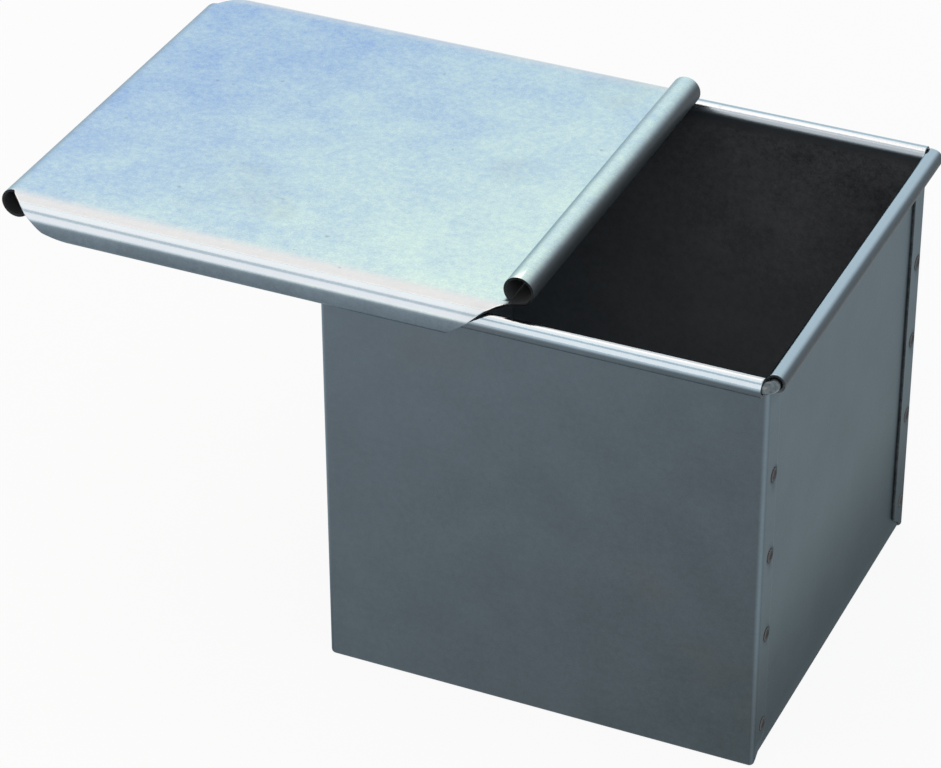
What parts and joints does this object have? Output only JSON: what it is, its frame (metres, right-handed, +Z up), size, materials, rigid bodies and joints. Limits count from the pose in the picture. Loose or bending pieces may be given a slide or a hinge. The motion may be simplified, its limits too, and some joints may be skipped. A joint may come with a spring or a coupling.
{
  "type": "pullman loaf pan",
  "caption": "Cube-shaped baking tin of folded steel sheet with a wired rolled rim, and a flat lid that slides on the two long rims.",
  "frame": {"origin": "middle of the pan's base, on the surface that it stands on", "axes": "+Z up out of the pan's mouth, +X towards the end where the lid's pull roll stands when the lid is shut, so that the lid pulls out towards -X, +Y across the pan"},
  "size_m": [0.1809, 0.1086, 0.1071],
  "materials": {
    "pan_sheet": "satin aluminium-coated steel sheet, folded",
    "wire": "drawn steel wire, dull",
    "weld": "scorched weld pit",
    "lid_sheet": "satin aluminium-coated steel sheet, faintly mottled"
  },
  "bodies": {
    "pan": {"pan_shell": "pan_sheet", "rim_wire": "wire", "spot_welds": "weld"},
    "sliding_lid": {"lid": "lid_sheet"}
  },
  "joints": [
    {"name": "lid_slide", "type": "slide", "parent": "pan", "child": "sliding_lid", "axis": [1, 0, 0], "range_m": [-0.055, 0.0674]}
  ]
}
